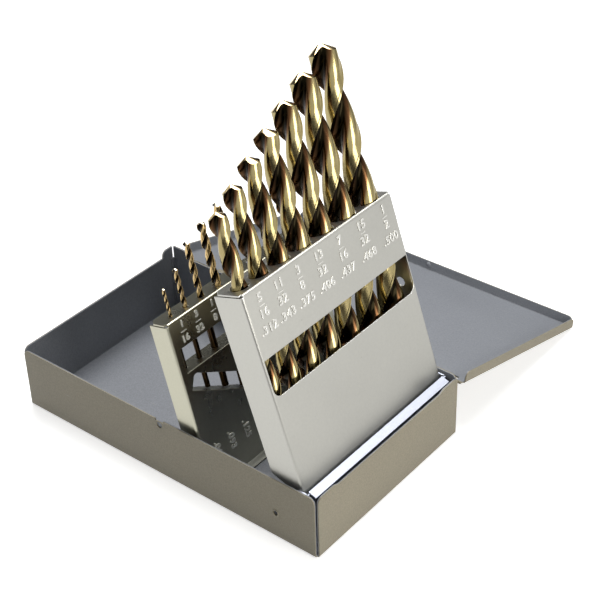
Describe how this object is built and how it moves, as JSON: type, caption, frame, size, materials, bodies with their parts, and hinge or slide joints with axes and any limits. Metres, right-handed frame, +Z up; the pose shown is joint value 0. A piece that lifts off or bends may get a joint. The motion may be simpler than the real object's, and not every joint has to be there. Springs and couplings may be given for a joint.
{
  "type": "drill bit case",
  "caption": "Folding sheet steel case that stores twist drills by size in two racks, which stand up for use and fold flat under a hinged lid.",
  "frame": {"origin": "centre of the tray's flat underside", "axes": "+Z up, +Y from the front wall to the hinged lid, +X along the tray to the end that the front rack stands at"},
  "size_m": [0.1756, 0.2064, 0.1802],
  "materials": {
    "painted_steel": "satin",
    "plated_steel": "satin",
    "bright_steel": "semi-gloss",
    "pin_steel": "satin",
    "gold_oxide_steel": "gloss"
  },
  "bodies": {
    "tray": {"base_tray": "painted_steel", "front_bracket": "bright_steel", "rear_bracket": "plated_steel", "front_rivets": "pin_steel", "rear_rivets": "pin_steel", "hinge_pin": "pin_steel"},
    "lid": {"lid": "painted_steel"},
    "front_rack": {"front_rack": "plated_steel"},
    "rear_rack": {"rear_rack": "plated_steel"},
    "drill_1_16": {"drill_1_16": "gold_oxide_steel"},
    "drill_3_32": {"drill_3_32": "gold_oxide_steel"},
    "drill_1_8": {"drill_1_8": "gold_oxide_steel"},
    "drill_5_32": {"drill_5_32": "gold_oxide_steel"},
    "drill_3_16": {"drill_3_16": "gold_oxide_steel"},
    "drill_7_32": {"drill_7_32": "gold_oxide_steel"},
    "drill_1_4": {"drill_1_4": "gold_oxide_steel"},
    "drill_9_32": {"drill_9_32": "gold_oxide_steel"},
    "drill_5_16": {"drill_5_16": "gold_oxide_steel"},
    "drill_11_32": {"drill_11_32": "gold_oxide_steel"},
    "drill_3_8": {"drill_3_8": "gold_oxide_steel"},
    "drill_13_32": {"drill_13_32": "gold_oxide_steel"},
    "drill_7_16": {"drill_7_16": "gold_oxide_steel"},
    "drill_15_32": {"drill_15_32": "gold_oxide_steel"},
    "drill_1_2": {"drill_1_2": "gold_oxide_steel"}
  },
  "joints": [
    {"name": "lid_hinge", "type": "hinge", "parent": "tray", "child": "lid", "pos_m": [0, 0.05255, 0.03005], "axis": [-1, 0, 0], "range_deg": [-100, 0]},
    {"name": "front_rack_fold", "type": "hinge", "parent": "tray", "child": "front_rack", "pos_m": [0.0763, 0, 0.0286], "axis": [0, 1, 0], "range_deg": [-71.7, 0]},
    {"name": "rear_rack_fold", "type": "hinge", "parent": "tray", "child": "rear_rack", "pos_m": [0.0233, 0, 0.01], "axis": [0, 1, 0], "range_deg": [-75.71, 0]},
    {"name": "drill_1_16_lift", "type": "slide", "parent": "rear_rack", "child": "drill_1_16", "axis": [-0.247, 0, 0.969], "range_m": [0, 0.0363]},
    {"name": "drill_3_32_lift", "type": "slide", "parent": "rear_rack", "child": "drill_3_32", "axis": [-0.247, 0, 0.969], "range_m": [0, 0.0408]},
    {"name": "drill_1_8_lift", "type": "slide", "parent": "rear_rack", "child": "drill_1_8", "axis": [-0.247, 0, 0.969], "range_m": [0, 0.0457]},
    {"name": "drill_5_32_lift", "type": "slide", "parent": "rear_rack", "child": "drill_5_32", "axis": [-0.247, 0, 0.969], "range_m": [0, 0.051]},
    {"name": "drill_3_16_lift", "type": "slide", "parent": "rear_rack", "child": "drill_3_16", "axis": [-0.247, 0, 0.969], "range_m": [0, 0.0568]},
    {"name": "drill_7_32_lift", "type": "slide", "parent": "rear_rack", "child": "drill_7_32", "axis": [-0.247, 0, 0.969], "range_m": [0, 0.0629]},
    {"name": "drill_1_4_lift", "type": "slide", "parent": "rear_rack", "child": "drill_1_4", "axis": [-0.247, 0, 0.969], "range_m": [0, 0.0695]},
    {"name": "drill_9_32_lift", "type": "slide", "parent": "rear_rack", "child": "drill_9_32", "axis": [-0.247, 0, 0.969], "range_m": [0, 0.0765]},
    {"name": "drill_5_16_lift", "type": "slide", "parent": "front_rack", "child": "drill_5_16", "axis": [-0.314, 0, 0.9494], "range_m": [0, 0.0835]},
    {"name": "drill_11_32_lift", "type": "slide", "parent": "front_rack", "child": "drill_11_32", "axis": [-0.314, 0, 0.9494], "range_m": [0, 0.0835]},
    {"name": "drill_3_8_lift", "type": "slide", "parent": "front_rack", "child": "drill_3_8", "axis": [-0.314, 0, 0.9494], "range_m": [0, 0.0835]},
    {"name": "drill_13_32_lift", "type": "slide", "parent": "front_rack", "child": "drill_13_32", "axis": [-0.314, 0, 0.9494], "range_m": [0, 0.0835]},
    {"name": "drill_7_16_lift", "type": "slide", "parent": "front_rack", "child": "drill_7_16", "axis": [-0.314, 0, 0.9494], "range_m": [0, 0.0835]},
    {"name": "drill_15_32_lift", "type": "slide", "parent": "front_rack", "child": "drill_15_32", "axis": [-0.314, 0, 0.9494], "range_m": [0, 0.0835]},
    {"name": "drill_1_2_lift", "type": "slide", "parent": "front_rack", "child": "drill_1_2", "axis": [-0.314, 0, 0.9494], "range_m": [0, 0.0835]}
  ],
  "couplings": [
    {"joint": "rear_rack_fold", "follows": "front_rack_fold", "ratio": 1.0558}
  ]
}
